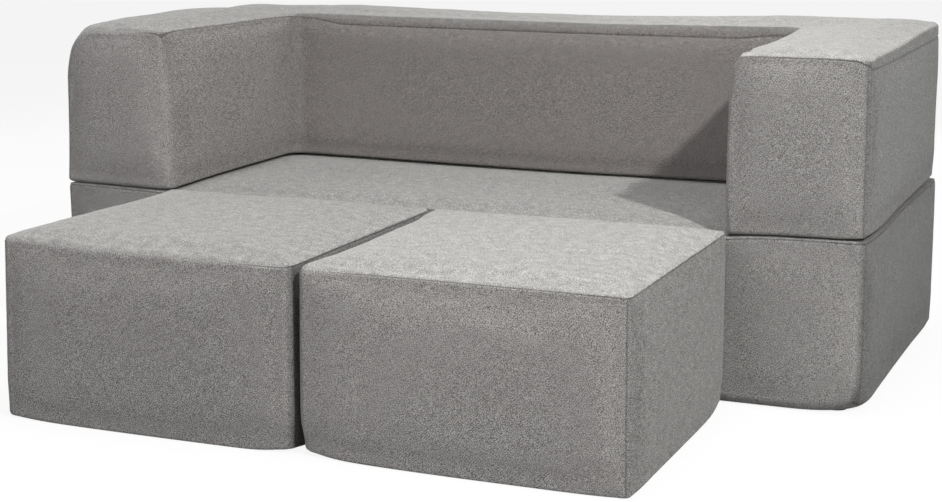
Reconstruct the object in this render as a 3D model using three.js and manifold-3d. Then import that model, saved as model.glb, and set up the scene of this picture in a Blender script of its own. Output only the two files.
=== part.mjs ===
// Modular foam sofa set: a base block, a U-shaped back-and-arms block that flips over a sewn
// hinge on the base's rear edge, and two square ottomans that stand in front of the base.
// Every block is polyurethane foam in a zipped fabric cover with a non-slip bottom panel.
// Millimetres, +Z up, front towards -Y. The origin is on the floor, under the set's middle.
import * as THREE from "three";
import { mergeVertices } from "three/addons/utils/BufferGeometryUtils.js";
import Module from "manifold-3d";

const wasm = await Module();
wasm.setup();

// Driving dimensions
const sofaWidth = 1450;
const sofaDepth = 690;
const moduleHeight = 283;
const armWidth = 220;
const backThickness = 220;
const ottomanWidth = 500;
const ottomanDepth = 504;
const ottomanSpacing = 12;

// Clearance between parts that touch, and how far a cutter runs past what it cuts
const contactGap = 0.3;
const overrun = 5;

// When the back is flipped over, its top hangs this far above the floor
const flippedClearance = 1;

// How the covers are padded: the walls bulge, the tops are crowned and the back sags
const sideCrown = 5;
const topCrown = 4;
const seatCrown = 4;
const seatCrownMargin = 44;
const seatCrownRoot = 3;
const backSag = 4;

// Rounding of each kind of block: along its bottom and top edges, and round its upright edges.
// A pinch draws the corners of the bottom or top panel in further.
const baseRounding = { bottom: 14, top: 6, corner: 16, bottomPinch: 14, topPinch: 4 };
const backRounding = { bottom: 10, top: 24, corner: 22, bottomPinch: 8, topPinch: 8 };
const ottomanRounding = { bottom: 16, top: 8, corner: 15, bottomPinch: 14, topPinch: 6 };
const insideCornerRadius = 10;

// Covers
const coverThickness = 2.5;
const hemWidth = 14;
const panelCornerRadius = 20;

// Ottomans stand against the crowned front of the base
const ottomanClearance = 0.6;

// Zips: a coil sewn behind a slit in the rear wall of each cover
const zipTapeWidth = 26;
const zipTapeThickness = 1;
const zipTapeTail = 14;
const zipCoilWidth = 5.4;
const zipCoilHeight = 1.6;
const zipStopLength = 3;
const zipStopProud = 0.5;
const zipSlitWidth = 10.4;
const zipEndMargin = 70;
const blockZipHeight = 36;
const backZipHeight = 96;

// Zip sliders, of the kind without a pull tab
const sliderLength = 13;
const sliderWidth = 9.2;
const sliderTailWidth = 7.4;
const sliderPlate = 0.9;
const sliderKeyHole = 1.6;
const sliderParking = 8;

// Hinge: a folded fabric strip whose two leaves are sewn to the two rear faces
const hingeLeafThickness = 1.6;
const hingeLeafHeight = 60;
const hingeEndMargin = 60;
const hingeFoldGap = 0.2;

// Numbers of facets
const FINE = { corner: 3, side: 6, wall: 4, fillet: 3, crown: 3 };
const PLAIN = { corner: 2, side: 4, wall: 2, fillet: 2, crown: 2 };

// The last crown ring stops short of the middle of the block
const crownReachShare = 0.86;
const tightestCornerShare = 0.8;

// Places worked out from the sizes. The base's front is baseFront, its rear is rearFace.
const halfWidth = sofaWidth / 2;
const ottomanStandOff = sideCrown + ottomanClearance;
const frontOfBaseToFrontOfSet = ottomanStandOff + ottomanDepth + sideCrown;
const frontOfBaseToRearOfSet = sofaDepth + contactGap + hingeLeafThickness;
const baseFront = (frontOfBaseToFrontOfSet - frontOfBaseToRearOfSet) / 2;
const rearFace = baseFront + sofaDepth;
const innerHalfWidth = halfWidth - armWidth;
const backFront = rearFace - backThickness;
const seatLevel = moduleHeight;
const backFloor = seatLevel + contactGap;
const ottomanRear = baseFront - ottomanStandOff;
const ottomanFront = ottomanRear - ottomanDepth;
const hingeFold = seatLevel + contactGap / 2;
const backHeight = 2 * hingeFold - backFloor - flippedClearance;

// Colours, from the photograph
const coverFabric = new THREE.MeshStandardMaterial({ color: 0x8b8886, roughness: 0.95, metalness: 0 });
const bottomFabric = new THREE.MeshStandardMaterial({ color: 0x4b4a4a, roughness: 0.9, metalness: 0 });
const foam = new THREE.MeshStandardMaterial({ color: 0xe9e4d2, roughness: 1, metalness: 0 });
const zipTapeFabric = new THREE.MeshStandardMaterial({ color: 0x6d6b6a, roughness: 0.85, metalness: 0 });
const zincAlloy = new THREE.MeshStandardMaterial({ color: 0x55565a, roughness: 0.4, metalness: 0.9 });

// Turns a closed geometry into a solid that can be cut and joined
function solidFrom(geometry) {
  const bare = geometry.clone();
  bare.deleteAttribute("normal");
  bare.deleteAttribute("uv");
  const merged = mergeVertices(bare);
  return new wasm.Manifold(
    new wasm.Mesh({
      numProp: 3,
      vertProperties: merged.attributes.position.array,
      triVerts: new Uint32Array(merged.index.array),
    }),
  );
}

// Turns a solid back into a named mesh
function meshFrom(solid, name, material) {
  const { numProp, vertProperties, triVerts } = solid.getMesh();
  const count = vertProperties.length / numProp;
  const positions = new Float32Array(3 * count);
  for (let i = 0; i < count; i += 1) {
    positions.set(vertProperties.subarray(numProp * i, numProp * i + 3), 3 * i);
  }
  const geometry = new THREE.BufferGeometry();
  geometry.setAttribute("position", new THREE.BufferAttribute(positions, 3));
  geometry.setIndex(new THREE.BufferAttribute(triVerts, 1));
  const flat = geometry.toNonIndexed();
  flat.computeVertexNormals();
  const mesh = new THREE.Mesh(flat, material);
  mesh.name = name;
  return mesh;
}

// A box between two corners, as a solid
function boxSolid([x0, y0, z0], [x1, y1, z1]) {
  const geometry = new THREE.BoxGeometry(x1 - x0, y1 - y0, z1 - z0);
  geometry.translate((x0 + x1) / 2, (y0 + y1) / 2, (z0 + z1) / 2);
  return solidFrom(geometry);
}

// A plan is a list of right-angled corners, anticlockwise from above. Each side, which runs
// from its own corner to the next, says whether it is crowned.
function rectanglePlan(left, front, right, rear, crownedRear = false) {
  return [
    { at: [left, front], crowned: true },
    { at: [right, front], crowned: true },
    { at: [right, rear], crowned: crownedRear },
    { at: [left, rear], crowned: true },
  ];
}

// The U: right arm, back and left arm round the seat
function uPlan() {
  return [
    { at: [-halfWidth, baseFront], crowned: true },
    { at: [-innerHalfWidth, baseFront], crowned: true },
    { at: [-innerHalfWidth, backFront], crowned: true },
    { at: [innerHalfWidth, backFront], crowned: true },
    { at: [innerHalfWidth, baseFront], crowned: true },
    { at: [halfWidth, baseFront], crowned: true },
    { at: [halfWidth, rearFace], crowned: false },
    { at: [-halfWidth, rearFace], crowned: true },
  ];
}

// The unit vector along each side of a plan, and the one that points into the block
function sidesOf(plan) {
  return plan.map(({ at, crowned }, i) => {
    const next = plan[(i + 1) % plan.length].at;
    const length = Math.hypot(next[0] - at[0], next[1] - at[1]);
    const along = [(next[0] - at[0]) / length, (next[1] - at[1]) / length];
    return { along, inward: [-along[1], along[0]], crowned };
  });
}

// One ring of points: the plan drawn in by inset, with rounded corners and bulging sides
function ringOf(plan, { inset, corner, bulge = 0 }, facets) {
  const sides = sidesOf(plan);
  const arcs = plan.map(({ at }, i) => {
    const before = sides[(i + plan.length - 1) % plan.length];
    const after = sides[i];
    const convex = before.along[0] * after.along[1] - before.along[1] * after.along[0] > 0;
    const radius = convex ? corner : insideCornerRadius + inset;
    const outwardSign = convex ? 1 : -1;
    const sum = [before.inward[0] + after.inward[0], before.inward[1] + after.inward[1]];
    const centre = sum.map((s, k) => at[k] + s * inset + outwardSign * s * radius);
    const points = [];
    for (let j = 0; j <= facets.corner; j += 1) {
      const turn = (Math.PI / 2) * (j / facets.corner);
      points.push(
        centre.map(
          (c, k) =>
            c -
            outwardSign * radius * (before.inward[k] * Math.cos(turn) + after.inward[k] * Math.sin(turn)),
        ),
      );
    }
    return points;
  });
  const ring = [];
  arcs.forEach((arc, i) => {
    ring.push(...arc);
    const from = arc[arc.length - 1];
    const to = arcs[(i + 1) % arcs.length][0];
    const side = sides[i];
    for (let j = 1; j < facets.side; j += 1) {
      const way = j / facets.side;
      const fromMiddle = 2 * way - 1;
      const out = side.crowned ? bulge * (1 - fromMiddle * fromMiddle) : 0;
      ring.push(from.map((f, k) => f + (to[k] - f) * way - side.inward[k] * out));
    }
  });
  return ring;
}

// A padded block over a plan: rounded bottom edge, bulging walls, rounded top edge and a crown.
// allowance draws the whole surface in, for a cover's inside or its foam.
function paddedBlock(plan, form) {
  const { floor, height, crown, halfSpan, rounding, facets, allowance = 0, sag = () => 0 } = form;
  const corner = rounding.corner - allowance;
  const bottom = floor + allowance;
  const edgeTop = floor + height - crown - allowance;
  const wallFrom = bottom + rounding.bottom;
  const wallTo = edgeTop - rounding.top;
  const rings = [];
  for (let j = 0; j <= facets.fillet; j += 1) {
    const turn = (Math.PI / 2) * (j / facets.fillet);
    const drawn = 1 - Math.sin(turn);
    rings.push({
      z: bottom + rounding.bottom * (1 - Math.cos(turn)),
      inset: allowance + rounding.bottom * drawn,
      corner: corner + rounding.bottomPinch * drawn,
    });
  }
  for (let j = 1; j < facets.wall; j += 1) {
    const fromMiddle = 2 * (j / facets.wall) - 1;
    rings.push({
      z: wallFrom + (wallTo - wallFrom) * (j / facets.wall),
      inset: allowance,
      corner,
      bulge: sideCrown * (1 - fromMiddle * fromMiddle),
    });
  }
  for (let j = 0; j <= facets.fillet; j += 1) {
    const turn = (Math.PI / 2) * (j / facets.fillet);
    const drawn = 1 - Math.cos(turn);
    rings.push({
      z: wallTo + rounding.top * Math.sin(turn),
      inset: allowance + rounding.top * drawn,
      corner: corner + rounding.topPinch * drawn,
      top: true,
    });
  }
  const crownFrom = allowance + rounding.top;
  const crownTo = crownFrom + (halfSpan - crownFrom) * crownReachShare;
  for (let j = 1; crown > 0 && j <= facets.crown; j += 1) {
    const way = j / facets.crown;
    rings.push({
      z: edgeTop + crown * (1 - (1 - way) * (1 - way)),
      inset: crownFrom + (crownTo - crownFrom) * way,
      corner: Math.min(corner + rounding.topPinch, (halfSpan - crownTo) * tightestCornerShare),
      top: true,
    });
  }
  return lofted(
    rings.map((ring) =>
      ringOf(plan, ring, facets).map(([x, y]) => [x, y, ring.z - (ring.top ? sag(x) : 0)]),
    ),
  );
}

// Joins rings of equal length into one closed solid, bottom ring first
function lofted(rings) {
  const count = rings[0].length;
  const positions = rings.flat(2);
  const faces = [];
  for (let level = 0; level + 1 < rings.length; level += 1) {
    for (let i = 0; i < count; i += 1) {
      const next = (i + 1) % count;
      const low = level * count;
      const high = low + count;
      faces.push(low + i, low + next, high + next, low + i, high + next, high + i);
    }
  }
  const capOf = (ring) =>
    THREE.ShapeUtils.triangulateShape(ring.map(([x, y]) => new THREE.Vector2(x, y)), []);
  const last = (rings.length - 1) * count;
  capOf(rings[0]).forEach(([a, b, c]) => faces.push(c, b, a));
  capOf(rings[rings.length - 1]).forEach(([a, b, c]) => faces.push(last + a, last + b, last + c));
  const geometry = new THREE.BufferGeometry();
  geometry.setAttribute("position", new THREE.Float32BufferAttribute(positions, 3));
  geometry.setIndex(faces);
  return solidFrom(geometry);
}

// A flat plate over a plan
function plate(plan, inset, low, high) {
  const ring = ringOf(plan, { inset, corner: panelCornerRadius }, PLAIN);
  return lofted([low, high].map((z) => ring.map(([x, y]) => [x, y, z])));
}

// The slit in a rear wall, the relief behind it and the zip that lies there
function zipPlaces(left, right, rear, level) {
  const from = left + zipEndMargin;
  const to = right - zipEndMargin;
  const tapeFace = rear - coverThickness - contactGap;
  return { from, to, rear, level, tapeFace };
}

function zipSlit({ from, to, rear, level }) {
  return boxSolid(
    [from, rear - coverThickness - overrun, level - zipSlitWidth / 2],
    [to, rear + overrun, level + zipSlitWidth / 2],
  );
}

function zipRelief({ from, to, rear, level, tapeFace }) {
  const halfHeight = zipTapeWidth / 2 + contactGap;
  return boxSolid(
    [from - zipTapeTail - contactGap, tapeFace - zipTapeThickness - contactGap, level - halfHeight],
    [to + zipTapeTail + contactGap, rear, level + halfHeight],
  );
}

function zipTape({ from, to, level, tapeFace }, name) {
  const coilFrom = from + contactGap;
  const coilTo = to - contactGap;
  const tape = boxSolid(
    [from - zipTapeTail, tapeFace - zipTapeThickness, level - zipTapeWidth / 2],
    [to + zipTapeTail, tapeFace, level + zipTapeWidth / 2],
  );
  const coilProfile = new THREE.Shape();
  const half = zipCoilWidth / 2;
  coilProfile.moveTo(-half, -zipTapeThickness);
  coilProfile.lineTo(half, -zipTapeThickness);
  coilProfile.lineTo(half, 0);
  coilProfile.absellipse(0, 0, half, zipCoilHeight, 0, Math.PI, false, 0);
  coilProfile.lineTo(-half, -zipTapeThickness);
  const coil = new THREE.ExtrudeGeometry(coilProfile, {
    depth: coilTo - coilFrom,
    bevelEnabled: false,
    curveSegments: 6,
  });
  // The profile's x goes to z and its y to y, and the coil runs along x
  coil.applyMatrix4(
    new THREE.Matrix4().makeBasis(
      new THREE.Vector3(0, 0, 1),
      new THREE.Vector3(0, 1, 0),
      new THREE.Vector3(-1, 0, 0),
    ),
  );
  coil.translate(coilTo, tapeFace, level);
  const stopHalf = half + zipStopProud;
  const stops = [coilFrom, coilTo - zipStopLength].map((x) =>
    boxSolid(
      [x, tapeFace - zipTapeThickness / 2, level - stopHalf],
      [x + zipStopLength, tapeFace + zipCoilHeight + zipStopProud, level + stopHalf],
    ),
  );
  return meshFrom(tape.add(solidFrom(coil)).add(stops[0]).add(stops[1]), name, zipTapeFabric);
}

// The slider is parked at the zip's closed end, on the right. It bridges the coil.
function zipSlider({ to, level, tapeFace }, name) {
  const nose = to - contactGap - zipStopLength - sliderParking;
  const tail = nose - sliderLength;
  const low = tapeFace + contactGap;
  const high = tapeFace + zipCoilHeight + contactGap + sliderPlate;
  const plan = new THREE.Shape();
  plan.moveTo(0, -sliderTailWidth / 2);
  plan.lineTo(sliderLength - sliderWidth / 2, -sliderWidth / 2);
  plan.absarc(sliderLength - sliderWidth / 2, 0, sliderWidth / 2, -Math.PI / 2, Math.PI / 2, false);
  plan.lineTo(0, sliderTailWidth / 2);
  plan.closePath();
  const keyHole = new THREE.Path();
  keyHole.absarc(sliderLength / 2, 0, sliderKeyHole / 2, 0, 2 * Math.PI, true);
  plan.holes.push(keyHole);
  const body = new THREE.ExtrudeGeometry(plan, {
    depth: high - low,
    bevelEnabled: false,
    curveSegments: 8,
  });
  // The plan's y goes down the rear wall, and its thickness stands out of the wall
  body.rotateX(-Math.PI / 2);
  body.translate(tail, low, level);
  const channelHalf = zipCoilWidth / 2 + contactGap;
  const channel = boxSolid(
    [tail - overrun, low - overrun, level - channelHalf],
    [nose + overrun, tapeFace + zipCoilHeight + contactGap, level + channelHalf],
  );
  return meshFrom(solidFrom(body).subtract(channel), name, zincAlloy);
}

// Everything that one foam block is made of, apart from its foam
function coveredBlock(name, plan, form, zip) {
  const cavity = paddedBlock(plan, { ...form, facets: PLAIN, allowance: coverThickness });
  const panelInset = form.rounding.bottom + hemWidth;
  const panelTop = form.floor + coverThickness;
  const opening = plate(plan, panelInset, form.floor - overrun, panelTop + overrun);
  const padded = paddedBlock(plan, { ...form, facets: FINE });
  const outside = form.extra ? padded.add(form.extra(0, FINE)) : padded;
  const inside = form.extra ? cavity.add(form.extra(coverThickness, PLAIN)) : cavity;
  const shell = outside.subtract(inside).subtract(opening).subtract(zipSlit(zip));
  const panel = plate(plan, panelInset + contactGap, form.floor, panelTop);
  return [
    meshFrom(shell, `${name}_cover`, coverFabric),
    meshFrom(panel, `${name}_bottom_panel`, bottomFabric),
    zipTape(zip, `${name}_zip_tape`),
    zipSlider(zip, `${name}_zip_slider`),
  ];
}

// The foam that fills a cover, before it is cut into blocks
function foamOf(plan, form, zip) {
  const allowance = coverThickness + contactGap;
  const block = paddedBlock(plan, { ...form, facets: PLAIN, allowance });
  const whole = form.extra ? block.add(form.extra(allowance, PLAIN)) : block;
  return whole.subtract(zipRelief(zip));
}

// The seat's crown lies between the arms, so that the bands under them stay flat
function seatDome(allowance, facets) {
  const seat = rectanglePlan(-innerHalfWidth, baseFront, innerHalfWidth, backFront);
  const corner = baseRounding.corner;
  const halfSpan = Math.min(innerHalfWidth, (backFront - baseFront) / 2);
  const farInset = seatCrownMargin + (halfSpan - seatCrownMargin) * crownReachShare;
  const top = seatLevel - allowance;
  const rings = [
    ringOf(seat, { inset: seatCrownMargin, corner }, facets).map(([x, y]) => [x, y, top - seatCrownRoot]),
  ];
  for (let j = 0; j <= facets.crown; j += 1) {
    const way = j / facets.crown;
    const rise = seatCrown * (1 - (1 - way) * (1 - way));
    const inset = seatCrownMargin + (farInset - seatCrownMargin) * way;
    rings.push(ringOf(seat, { inset, corner }, facets).map(([x, y]) => [x, y, top + rise]));
  }
  return lofted(rings);
}

// Base: the block that carries the seat and the back-and-arms
function makeBase() {
  const plan = rectanglePlan(-halfWidth, baseFront, halfWidth, rearFace);
  const halfSpan = Math.min(halfWidth, sofaDepth / 2);
  const form = {
    floor: 0,
    height: moduleHeight,
    crown: 0,
    halfSpan,
    rounding: baseRounding,
    extra: seatDome,
  };
  const zip = zipPlaces(-halfWidth, halfWidth, rearFace, blockZipHeight);
  const group = new THREE.Group();
  group.add(...coveredBlock("base", plan, form, zip));
  group.add(meshFrom(foamOf(plan, form, zip), "base_foam_core", foam));
  return group;
}

// Back and arms: one U-shaped cover over three foam blocks that are glued at the corners
function makeBackArms() {
  const plan = uPlan();
  const halfSpan = Math.min(armWidth, backThickness) / 2;
  const sag = (x) => backSag * Math.max(0, 1 - (x / innerHalfWidth) ** 2);
  const form = {
    floor: backFloor,
    height: backHeight,
    crown: topCrown,
    halfSpan,
    rounding: backRounding,
    sag,
  };
  const zip = zipPlaces(-halfWidth, halfWidth, rearFace, backFloor + backZipHeight);
  const group = new THREE.Group();
  group.add(...coveredBlock("back_arms", plan, form, zip));

  const whole = foamOf(plan, form, zip);
  const glueLine = innerHalfWidth + coverThickness + contactGap;
  const glueFront = backFront + coverThickness - sideCrown;
  const between = (spare) =>
    boxSolid(
      [spare - glueLine, glueFront - contactGap + spare, backFloor - overrun],
      [glueLine - spare, rearFace + overrun, backFloor + backHeight + overrun],
    );
  const arms = whole.subtract(between(0));
  const half = (from, to) =>
    boxSolid(
      [from, baseFront - overrun, backFloor - overrun],
      [to, rearFace + overrun, backFloor + backHeight + overrun],
    );
  const side = halfWidth + overrun;
  group.add(meshFrom(arms.intersect(half(-side, 0)), "left_arm_foam_core", foam));
  group.add(meshFrom(whole.intersect(between(contactGap)), "backrest_foam_core", foam));
  group.add(meshFrom(arms.intersect(half(0, side)), "right_arm_foam_core", foam));
  return group;
}

// Ottomans: two alike, side by side
function makeOttoman(name, left) {
  const right = left + ottomanWidth;
  const plan = rectanglePlan(left, ottomanFront, right, ottomanRear);
  const halfSpan = Math.min(ottomanWidth, ottomanDepth) / 2;
  const form = {
    floor: 0,
    height: moduleHeight,
    crown: topCrown,
    halfSpan,
    rounding: ottomanRounding,
  };
  const zip = zipPlaces(left, right, ottomanRear, blockZipHeight);
  const group = new THREE.Group();
  group.add(...coveredBlock(name, plan, form, zip));
  group.add(meshFrom(foamOf(plan, form, zip), `${name}_foam_core`, foam));
  return group;
}

// The hinge's leaves lie on the two rear faces and meet at the fold
function makeHinge() {
  const near = rearFace + contactGap;
  const far = near + hingeLeafThickness;
  const end = halfWidth - hingeEndMargin;
  const below = hingeFold - hingeFoldGap;
  const above = hingeFold + hingeFoldGap;
  const leaf = (low, high, name) =>
    meshFrom(boxSolid([-end, near, low], [end, far, high]), name, coverFabric);
  const group = new THREE.Group();
  group.add(leaf(below - hingeLeafHeight, below, "hinge_leaf_base"));
  group.add(leaf(above, above + hingeLeafHeight, "hinge_leaf_back"));
  return group;
}

const sofa = new THREE.Group();
sofa.add(makeBase());
sofa.add(makeBackArms());
sofa.add(makeHinge());
sofa.add(makeOttoman("left_ottoman", -ottomanSpacing / 2 - ottomanWidth));
sofa.add(makeOttoman("right_ottoman", ottomanSpacing / 2));

export default sofa;
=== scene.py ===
import math

import bpy
import numpy as np
from mathutils import Matrix, Vector
from mathutils.kdtree import KDTree


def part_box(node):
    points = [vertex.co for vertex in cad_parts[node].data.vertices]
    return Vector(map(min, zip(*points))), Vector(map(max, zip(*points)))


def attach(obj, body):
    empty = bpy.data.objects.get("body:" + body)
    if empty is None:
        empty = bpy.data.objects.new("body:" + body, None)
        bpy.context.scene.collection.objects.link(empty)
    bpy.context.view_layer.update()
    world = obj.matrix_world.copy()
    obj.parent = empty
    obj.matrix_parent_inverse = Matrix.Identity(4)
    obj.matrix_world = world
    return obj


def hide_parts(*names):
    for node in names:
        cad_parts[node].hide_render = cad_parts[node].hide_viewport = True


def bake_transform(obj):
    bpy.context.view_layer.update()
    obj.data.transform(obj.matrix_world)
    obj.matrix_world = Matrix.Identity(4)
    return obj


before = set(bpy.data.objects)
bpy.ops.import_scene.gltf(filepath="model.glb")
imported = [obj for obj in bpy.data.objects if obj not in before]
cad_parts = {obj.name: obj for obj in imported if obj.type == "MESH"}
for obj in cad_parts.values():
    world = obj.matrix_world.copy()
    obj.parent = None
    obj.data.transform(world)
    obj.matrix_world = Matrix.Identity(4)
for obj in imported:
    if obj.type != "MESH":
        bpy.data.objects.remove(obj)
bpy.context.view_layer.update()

MM = 0.001
METRE = 1000.0

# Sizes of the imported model, in millimetres
HALF_WIDTH = 725.0
INNER_HALF_WIDTH = 505.0
BASE_FRONT = -88.65
REAR_FACE = 601.35
BACK_FRONT = 381.35
SEAT_LEVEL = 283.0
BACK_FLOOR = 283.3
BACK_TOP = 565.3
OTTOMAN_REAR = -94.25
OTTOMAN_FRONT = -598.25
OTTOMAN_INNER = 6.0
OTTOMAN_OUTER = 506.0
HINGE_FOLD = 283.15
PANEL_INSET = 28.3
PANEL_THICKNESS = 2.5

# Loops of the meshes, as distances from an edge. A cover's crowd round a seam at SEAM_LOOP.
SEAM_LOOP = 14.0
EDGE_LOOPS = [0, 1.3, 2.8, 4.5, 6.5, 8.7, 10.4, 11.6, 12.6, 13.4, 14, 14.6, 15.4, 16.4, 17.8, 20,
              23, 27, 32, 38, 45]
PLAIN_LOOPS = [0, 1.5, 3.2, 5.2, 7.6, 10.4, 14, 18.5, 24, 31, 39]
COARSE_LOOPS = [0, 5, 12, 22]

# Grid steps of the meshes between their loops
COVER_STEP = 11.0
FOAM_STEP = 24.0
PANEL_STEP = 16.0
SIM_STEP = 15.0


def smooth(x):
    x = np.clip(x, 0.0, 1.0)
    return x * x * (3 - 2 * x)


def bell(gap, width):
    """1 where there is no gap, down to nothing at about twice the width."""
    return np.exp(-((gap / width) ** 2))


def waves(seed, points, size):
    """A smooth uneven field between about -1 and 1, the same on each run: a sum of slanted waves."""
    random = np.random.default_rng(seed)
    total = np.zeros(len(points))
    for _ in range(9):
        direction = random.normal(size=3)
        direction /= np.linalg.norm(direction)
        length = size * random.uniform(0.7, 1.9)
        total += np.sin(points @ direction * (2 * math.pi / length) + random.uniform(0, 6.283))
    return total / 3.2


# Outlines


class Outline:
    """A right-angled plan, anticlockwise from above."""

    def __init__(self, corners):
        self.corners = np.array(corners, float)
        steps = np.roll(self.corners, -1, axis=0) - self.corners
        self.length = np.hypot(steps[:, 0], steps[:, 1])
        self.along = steps / self.length[:, None]
        self.inward = np.stack([-self.along[:, 1], self.along[:, 0]], 1)
        self.start = np.concatenate([[0.0], np.cumsum(self.length)[:-1]])
        before = np.roll(self.along, 1, axis=0)
        self.convex = before[:, 0] * self.along[:, 1] - before[:, 1] * self.along[:, 0] > 0
        self.count = len(corners)

    def nearest(self, x, y):
        """For each point: its nearest side, its place along that side, and its distance inside."""
        best = np.full(len(x), 1e9)
        side = np.zeros(len(x), int)
        place = np.zeros(len(x))
        for i in range(self.count):
            px, py = x - self.corners[i, 0], y - self.corners[i, 1]
            inside = px * self.inward[i, 0] + py * self.inward[i, 1]
            s = px * self.along[i, 0] + py * self.along[i, 1]
            past = np.maximum(np.maximum(-s, s - self.length[i]), 0)
            reach = np.where(inside > -1e-6, np.maximum(inside, past) + 1e-4 * past, 1e9)
            closer = reach < best
            best = np.where(closer, reach, best)
            side = np.where(closer, i, side)
            place = np.where(closer, np.clip(s, 0, self.length[i]), place)
        return side, place, np.maximum(best, 0)

    def vary(self, side, place, inset, amounts, merge=26.0):
        """A value along the outline. A side has one amount, or one for its start, middle and end."""
        start, middle, end = np.array([a if isinstance(a, tuple) else (a,) * 3 for a in amounts], float).T
        rest = self.length[side] - place
        plateau = np.minimum(30.0, 0.07 * self.length[side])
        run = np.minimum(90.0, 0.25 * self.length[side])
        value = middle[side]
        value = value + (start - middle)[side] * (1 - smooth((place - plateau) / run))
        value = value + (end - middle)[side] * (1 - smooth((rest - plateau) / run))
        # The two sides that meet at a corner share one value there
        shared_start = (start + np.roll(end, 1)) / 2
        shared_end = (end + np.roll(start, -1)) / 2
        for shared, gap in ((shared_start, place), (shared_end, rest)):
            skew = np.clip((gap - inset) / np.maximum(gap + inset, 1e-6), 0, 1)
            own = smooth(gap / merge) * np.sqrt(skew)
            value = np.where(gap < merge * 2, shared[side] + (value - shared[side]) * own, value)
        return value


def rectangle(x0, y0, x1, y1):
    return Outline([(x0, y0), (x1, y0), (x1, y1), (x0, y1)])


def u_outline():
    h, i, f, b, r = HALF_WIDTH, INNER_HALF_WIDTH, BASE_FRONT, BACK_FRONT, REAR_FACE
    return Outline([(-h, f), (-i, f), (-i, b), (i, b), (i, f), (h, f), (h, r), (-h, r)])


# Blocks

# What a block's form says where its maker doesn't: a value for each side or corner, then the rest
EACH_SIDE = {
    "corner_push": (0.0, 0.0), "top_push": (0.0, 0.0), "foot_push": (0.0, 0.0), "pinch": 0.0, "slit": 0.0,
    # Per side: a factor of painted light and shade, and a painted warm bounce tint
    "seam_show": 1.0, "nap": 1.0, "mottle": 0.4, "grain": 1.0, "warm": 0.0,
}
WHOLE_BLOCK = {
    "foot_share": 0.0, "pinch_lift": 0.0, "uneven": 0.7, "settles": False, "seam_dip": None, "zip": None,
    # For the whole block: painted light lower down, a painted shaded strip and corner, and painted light on
    # the top
    "upright_seams": [], "painted_low_light": 0.0, "painted_strip_shade": None, "painted_corner_shade": None, "grain_top": 0.62,
    "crown": lambda x, y, inset: 0 * x,
    "touches": lambda x, y, z: 0 * x,
    "painted_top_light": lambda x, y: 1.0 + 0 * x,
}
# How far from a corner its rounding changes with height, and its pushes and pinch reach
CORNER_FADE = 95.0
PUSH_REACH = 130.0
PINCH_REACH = 42.0


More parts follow.
